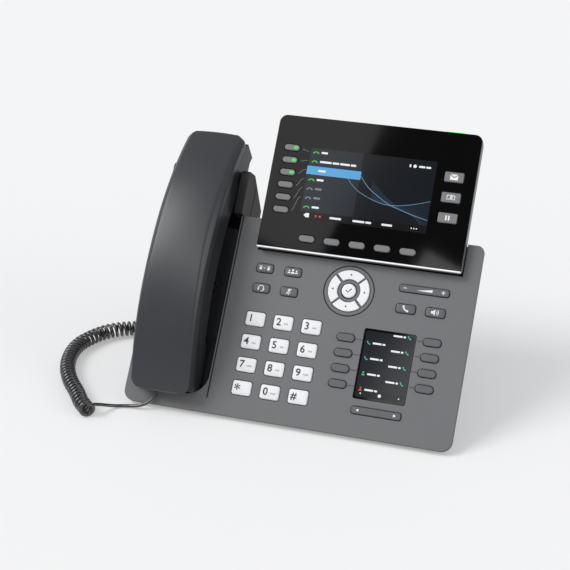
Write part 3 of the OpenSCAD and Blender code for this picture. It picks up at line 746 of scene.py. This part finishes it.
glass_height = {id(SCREEN): 0.0, id(FACE): -0.3}
lcd_x0, lcd_x1, lcd_y0, lcd_y1 = -LCD_HALF_W, LCD_HALF_W, -LCD_HALF_H, LCD_HALF_H
LIST_X1 = -7.5
ROWS = 7
ROW_H = 6.95
BAR_Y = lcd_y0 + 5.4
SELECTED = 2
LIVE_ROWS = [0, 1, 2, 3, 6]
IDLE_ROWS = [4, 5]
MARK_X = lcd_x0 + 4.2
ENTRY_X = lcd_x0 + 8.2
row_y = [lcd_y1 - 3.1 - i * ROW_H for i in range(ROWS)]
row_edges = [y - ROW_H / 2 for y in row_y]
picked = row_y[SELECTED]
ui("screen_back", [rounded(lcd_x0, lcd_x1, lcd_y0, lcd_y1, 0.3)], 0, SCREEN, "lcd_dark")
ui("screen_list", [rounded(lcd_x0, LIST_X1, BAR_Y, lcd_y1, 0.2)], 1, SCREEN, "lcd_panel")
ui("screen_rows", [rounded(lcd_x0 + 1, LIST_X1 - 1, y - 0.12, y + 0.12, 0.1) for y in row_edges], 2,
   SCREEN, "lcd_row")
ui("screen_selected", [rounded(lcd_x0 - 0.6, LIST_X1 + 0.6, picked - 3.2, picked + 3.2, 0.2)], 3,
   SCREEN, "lcd_blue")
ui("screen_label_bar", [rounded(lcd_x0, lcd_x1, lcd_y0, BAR_Y, 0.2)], 1, SCREEN, "lcd_bar")
CALL_MARK = [ribbon(arc(0, -1.6, 2.0, 35, 145, 8), 0.8), circle(-1.75, -0.55, 0.62, 10),
             circle(1.75, -0.55, 0.62, 10)]
for name, rows, material in (("screen_call_marks", LIVE_ROWS, "lcd_green"),
                             ("screen_idle_marks", IDLE_ROWS, "lcd_dim")):
    ui(name, [m for i in rows for m in moved(CALL_MARK, MARK_X, row_y[i] - 0.1)], 4, SCREEN, material)


def text_bars(x, y, widths, height=1.5, space=0.7):
    """Generic bars where the real display has words."""
    bars = []
    for width in widths:
        bars.append(rounded(x, x + width, y - height / 2, y + height / 2, height * 0.3))
        x += width + space
    return bars


row_bars = {0: [4.8], 1: [9, 5, 7.5, 4], 2: [5.6], 3: [5.2], 4: [5], 5: [5], 6: [5.4]}
for name, rows, material in (("screen_entries", LIVE_ROWS, "lcd_white"),
                             ("screen_idle_entries", IDLE_ROWS, "lcd_dim")):
    ui(name, [b for i in rows for b in text_bars(ENTRY_X, row_y[i], row_bars[i])], 5, SCREEN, material)
label_y = (lcd_y0 + BAR_Y) / 2
labels = []
for x, widths in ((-24.5, [8.6]), (-7.2, [9.0, 4.2]), (14.5, [7.8])):
    labels += text_bars(x, label_y, widths)
labels += [circle(36.5 + i * 1.9, label_y, 0.5, 10) for i in range(3)]
labels += moved([polygon((-4.2, 0), (-2.4, 1.6), (0, 1.6), (0, -1.6), (-2.4, -1.6))], -40.2, label_y)
ui("screen_labels", labels, 5, SCREEN, "lcd_white")
ui("screen_alerts", [rounded(-35.6, -34.6, label_y - 0.9, label_y + 0.9, 0.2),
                     rounded(-32.6, -31.2, label_y - 0.7, label_y + 0.7, 0.2)], 5, SCREEN, "lcd_red")
status_y = lcd_y1 - 5.2
status = text_bars(34.6, status_y, [4.6, 3.6], 1.4) + [circle(31.6, status_y, 1.25, 16)]
status += [rounded(27.6, 28.8, status_y - 1, status_y + 1, 0.2)]
ui("screen_status", status, 5, SCREEN, "lcd_white")

UPPER = [(-17.5, 8.4), (-12, 2.2), (-5, -2.8), (8, -8), (19.5, -9.4), (34, -7), (47.2, -3)]
LOWER = [(-6.5, 9.4), (-2.2, 4.2), (3, -0.3), (16.6, -8.5), (30, -13), (39, -15.4), (47.2, -17.2)]


def wave(share):
    """A strand of the wallpaper's wave, this share of the way from its upper edge to its lower one."""
    spine = [Vector(a).lerp(Vector(b), share).to_3d() for a, b in zip(UPPER, LOWER)]
    return [p for p in curve_through(spine, 6) if p.y > BAR_Y + 0.3]


haze = [[p for p in wave(k / 11) if p.x > 2] for k in range(1, 19)]
ui("screen_wave_haze", [ribbon(strand, 0.22) for strand in haze], 2, SCREEN, "lcd_haze")
ui("screen_wave", [ribbon(wave(0), 0.34), ribbon(wave(1), 0.42)], 4, SCREEN, "lcd_wave")

LIT_LINE_KEYS = 3
line_solids = sorted(solids_of("line_keys", SCREEN), key=lambda s: -s[0].y)
marks, guide_marks = [], []
for i, (low, high) in enumerate(line_solids):
    y = (low.y + high.y) / 2
    if i < LIT_LINE_KEYS:
        marks.append(rounded(high.x - 4.3, high.x - 1.0, y - 1.1, y + 1.1, 1.05))
    rise = row_y[i] - y
    guide = curve_through([(high.x + 2.4, y, 0), (high.x + 3.6, y + rise * 0.25, 0),
                           (lcd_x0 - 3.2, y + rise * 0.85, 0), (lcd_x0 - 1.4, row_y[i], 0)], 4)
    guide_marks.append(ribbon(guide, 0.3))
decal("line_key_lights", marks, line_solids[0][1].z - 0.02, SCREEN, "key_green", "line_keys_body",
      "indicator")
decal("line_guides", guide_marks, 0.0, SCREEN, "line_mark", slot="grey_key", thickness=0.03)

# ---------------------------------------------------------------- side display

side_low, side_high = side_box
slab_piece("side_cover_glass", [[box_loop(side_low, side_high, 1.3)]], -2.4, -0.3, FACE, "cover_glass",
           stands_for=["side_glass"], edge=0.15)
sx, sy = (side_low.x + side_high.x) / 2, (side_low.y + side_high.y) / 2
SIDE_W, SIDE_H = 35.4, 48.4
x0, x1, y0, y1 = sx - SIDE_W / 2, sx + SIDE_W / 2, sy - SIDE_H / 2, sy + SIDE_H / 2
ui("side_back", [rounded(x0, x1, y0, y1, 0.3)], 0, FACE, "side_dark")
ui("side_bar", [rounded(x0, x1, y0, y0 + 5.4, 0.2)], 1, FACE, "lcd_bar")
left_y = [(s[0].y + s[1].y) / 2 for s in solids_of("side_keys_left", FACE)][::-1]
right_y = [(s[0].y + s[1].y) / 2 for s in solids_of("side_keys_right", FACE)][::-1]
names = [b for y in left_y for b in text_bars(x0 + 6.2, y - 1.2, [6.4, 2.2], 1.3)]
names += [b for y in right_y for b in text_bars(x1 - 15.2, y + 1.2, [6.6, 1.8], 1.3)]
names += [circle(sx, y0 + 2.7, 1.2, 16),
          polygon((x0 + 3, y0 + 2.7), (x0 + 4.1, y0 + 3.4), (x0 + 4.1, y0 + 2)),
          polygon((x1 - 3, y0 + 2.7), (x1 - 4.1, y0 + 2), (x1 - 4.1, y0 + 3.4))]
ui("side_names", names, 3, FACE, "lcd_white")
ui("side_calls", [m for y in right_y for m in moved(HANDSET_MARK, x1 - 3.4, y + 1.2, 0.62)]
   + [m for y in left_y[:2] for m in moved(HANDSET_MARK, x0 + 3.2, y - 1.2, 0.62)], 3, FACE, "lcd_teal")
ui("side_free", moved(PERSON, x0 + 3.2, left_y[2] - 1.2, 0.9), 3, FACE, "lcd_green")
ui("side_busy", moved(PERSON, x0 + 3.2, left_y[3] - 1.2, 0.9), 3, FACE, "lcd_red")

# ---------------------------------------------------------------- handset

hs_low, hs_high = corners("handset_cover", FACE)
HS_X = (hs_low.x + hs_high.x) / 2
HS_HALF = (hs_high.x - hs_low.x) / 2
RISE = hs_high.z
CROWN_V = 101.75
GRIP_R = 200.6
A_HIGH, A_LOW = 33.4, 28.0
COVER_T = 9.5
FLARE = 0.8


def smooth_step(x, low, high):
    t = min(max((x - low) / (high - low), 0.0), 1.0)
    return t * t * (3 - 2 * t)


def fillet(points, radius, steps=3):
    """Rounds the inner corners of an open line, always with the same number of points."""
    out = [points[0]]
    for a, b, c in zip(points, points[1:], points[2:]):
        u, v = (a - b).normalized(), (c - b).normalized()
        reach = min(radius, (a - b).length * 0.45, (c - b).length * 0.45)
        start, end = b + u * reach, b + v * reach
        for k in range(steps + 1):
            t = k / steps
            out.append((1 - t) ** 2 * start + 2 * t * (1 - t) * b + t * t * end)
    return out + [points[-1]]


def cover_section(half, bevel, drop, crown=0.8):
    """The cover across the grip as (x, depth): flared side, bevel, crowned back, bevel, side."""
    inner = half - FLARE - bevel
    back = [Vector((inner * (1 - k / 7), drop + crown * (1 - k / 7) ** 2)) for k in range(15)]
    shoulder = Vector((half - FLARE, drop + crown + bevel))
    edge = fillet([Vector((half, COVER_T)), shoulder, back[0], back[1]], 0.8)
    right = edge[:-1]
    return right + back[1:-1] + [Vector((-p.x, p.y)) for p in right[::-1]]


def handset_cover():
    """The grip's outer shell, swept along its arc with closer stations at the rounded ends."""
    bm = bmesh.new()
    rings = []
    count = 90
    for i in range(count + 1):
        t = i / count
        a = -A_LOW + (A_HIGH + A_LOW) * (t - 0.06 * math.sin(2 * math.pi * t))
        end_gap = math.radians(A_HIGH - a if a > 0 else a + A_LOW) * GRIP_R
        corner = 6.0 if a > 0 else 8.0
        half = HS_HALF
        if end_gap < corner:
            half -= corner - math.sqrt(corner**2 - (corner - end_gap) ** 2)
        soft = 1.2
        drop = soft - math.sqrt(soft**2 - (soft - end_gap) ** 2) if end_gap < soft else 0.0
        along = CROWN_V + GRIP_R * math.sin(math.radians(a))
        bevel = 1.3 + 2.3 * smooth_step(along, 35, 125)
        ring = []
        for p in cover_section(half, bevel, drop):
            r = GRIP_R - p.y
            ring.append(Vector((HS_X + p.x, CROWN_V + r * math.sin(math.radians(a)),
                                RISE - GRIP_R + r * math.cos(math.radians(a)))))
        rings.append(ring)
    made = add_rings(bm, rings)
    add_cap(bm, [made[0]])
    add_cap(bm, [made[-1]])
    return to_object("handset_top_shell", bm, FACE, "handset_shell")


put(handset_cover(), "handset", ["handset_cover"])

# ---------------------------------------------------------------- carried-over CAD parts

CARRIED = {
    "black_shell": ["lower_housing", "display_back_cover", "desk_stand", "hook_switch"],
    "cradle_shell": ["handset_cradle"],
    # The handset body gets the darker copy of the handset plastic: painted shade on its sides.
    "handset_shaded_body": ["handset_body"],
    "metal": ["handset_capsules", "loudspeaker", "screws"],
    "clear_plug": ["handset_plug", "base_plug"],
    "circuit_board": ["main_board", "display_board"],
    "socket_plastic": ["rear_jacks", "cord_jacks"],
    "foot_rubber": ["rubber_feet"],
    "key_rubber": ["key_mat"],
    "lcd_bar": ["main_lcd", "side_lcd"],
}
for material, names_of in CARRIED.items():
    for node in names_of:
        slots = frame["nodes"][node].data.materials
        slots.clear()
        slots.append(MATS[material])

inlet = next(m for m in frame["record"]["mounts"] if m["name"] == "power_inlet")
inlet_at = Vector(inlet["pos_m"])
pin_axes = Matrix.Translation(inlet_at) @ Matrix.Rotation(math.radians(-90), 4, "X") @ Matrix.Scale(MM, 4)
slab_piece("power_pin", [[circle(0, 0, 1.0, 20)]], -9.5, -0.8, pin_axes, "metal",
           slot="capsule_metal", edge=0.35)

# ---------------------------------------------------------------- stage

floor_mesh = bpy.data.meshes.new("floor")
HALF_FLOOR = 6.0
floor_corners = [(x * HALF_FLOOR, y * HALF_FLOOR, 0) for x, y in ((-1, -1), (1, -1), (1, 1), (-1, 1))]
floor_mesh.from_pydata(floor_corners, [], [(0, 1, 2, 3)])
floor_obj = bpy.data.objects.new("floor", floor_mesh)
bpy.context.scene.collection.objects.link(floor_obj)
floor_mat = plastic("floor_pale", grey(200), 0.9, bump=0.0, mottle=0.0, specular_ior_level=0.0)
floor_shader = floor_mat.node_tree.nodes["Principled BSDF"]
floor_shader.inputs["Emission Color"].default_value = (1, 1, 1, 1)
floor_shader.inputs["Emission Strength"].default_value = 0.33
floor_mesh.materials.append(floor_mat)


def sun(name, toward, strength, softness):
    """A soft distant light that shines in this direction."""
    data = bpy.data.lights.new(name, "SUN")
    data.energy = strength
    data.angle = math.radians(softness)
    light = bpy.data.objects.new(name, data)
    light.rotation_euler = Vector(toward).to_track_quat("-Z", "Y").to_euler()
    bpy.context.scene.collection.objects.link(light)


def gloss(name, axes, top, bottom, width, radiance, spread=2.4):
    """A light that the camera sees only in a display's glass, beside the line from bottom to top.

    It lies on the line's left, or on its right where the width is negative.
    """
    eye = axes.inverted() @ camera.location
    eye.z = -eye.z
    top, bottom = [eye + (Vector((x, y, 0)) - eye) * spread for x, y in (top, bottom)]
    up = (top - bottom).normalized()
    normal = Vector((0, 0, 1))
    across = up.cross(normal)
    data = bpy.data.lights.new(name, "AREA")
    data.shape = "RECTANGLE"
    data.size, data.size_y = abs(width) * spread * MM, (top - bottom).length * MM
    data.energy = radiance * math.pi * data.size * data.size_y
    data.diffuse_factor = 0
    light = bpy.data.objects.new(name, data)
    turn = Matrix((across, up, normal)).transposed()
    light.rotation_euler = (axes.to_3x3().normalized() @ turn).to_euler()
    light.location = axes @ ((top + bottom) / 2 - across * width * spread / 2)
    light.visible_camera = light.visible_diffuse = False
    bpy.context.scene.collection.objects.link(light)


sun("key_sun", (0.95, 0.4, -1.2), 1.7, 30)
sun("fill_sun", (-0.92, 0.16, -0.42), 0.5, 30)
gloss("display_gloss", SCREEN, (6, 60), (-28, -60), 80, 6.0)
gloss("side_gloss", FACE, (sx + 18, sy + 40), (sx - 14, sy - 40), -60, 12.0)
world = bpy.data.worlds.new("studio")
world.use_nodes = True
world.node_tree.nodes["Background"].inputs["Color"].default_value = (0.92, 0.94, 0.97, 1)
world.node_tree.nodes["Background"].inputs["Strength"].default_value = 0.57
bpy.context.scene.world = world
bpy.context.scene.view_settings.view_transform = "Standard"
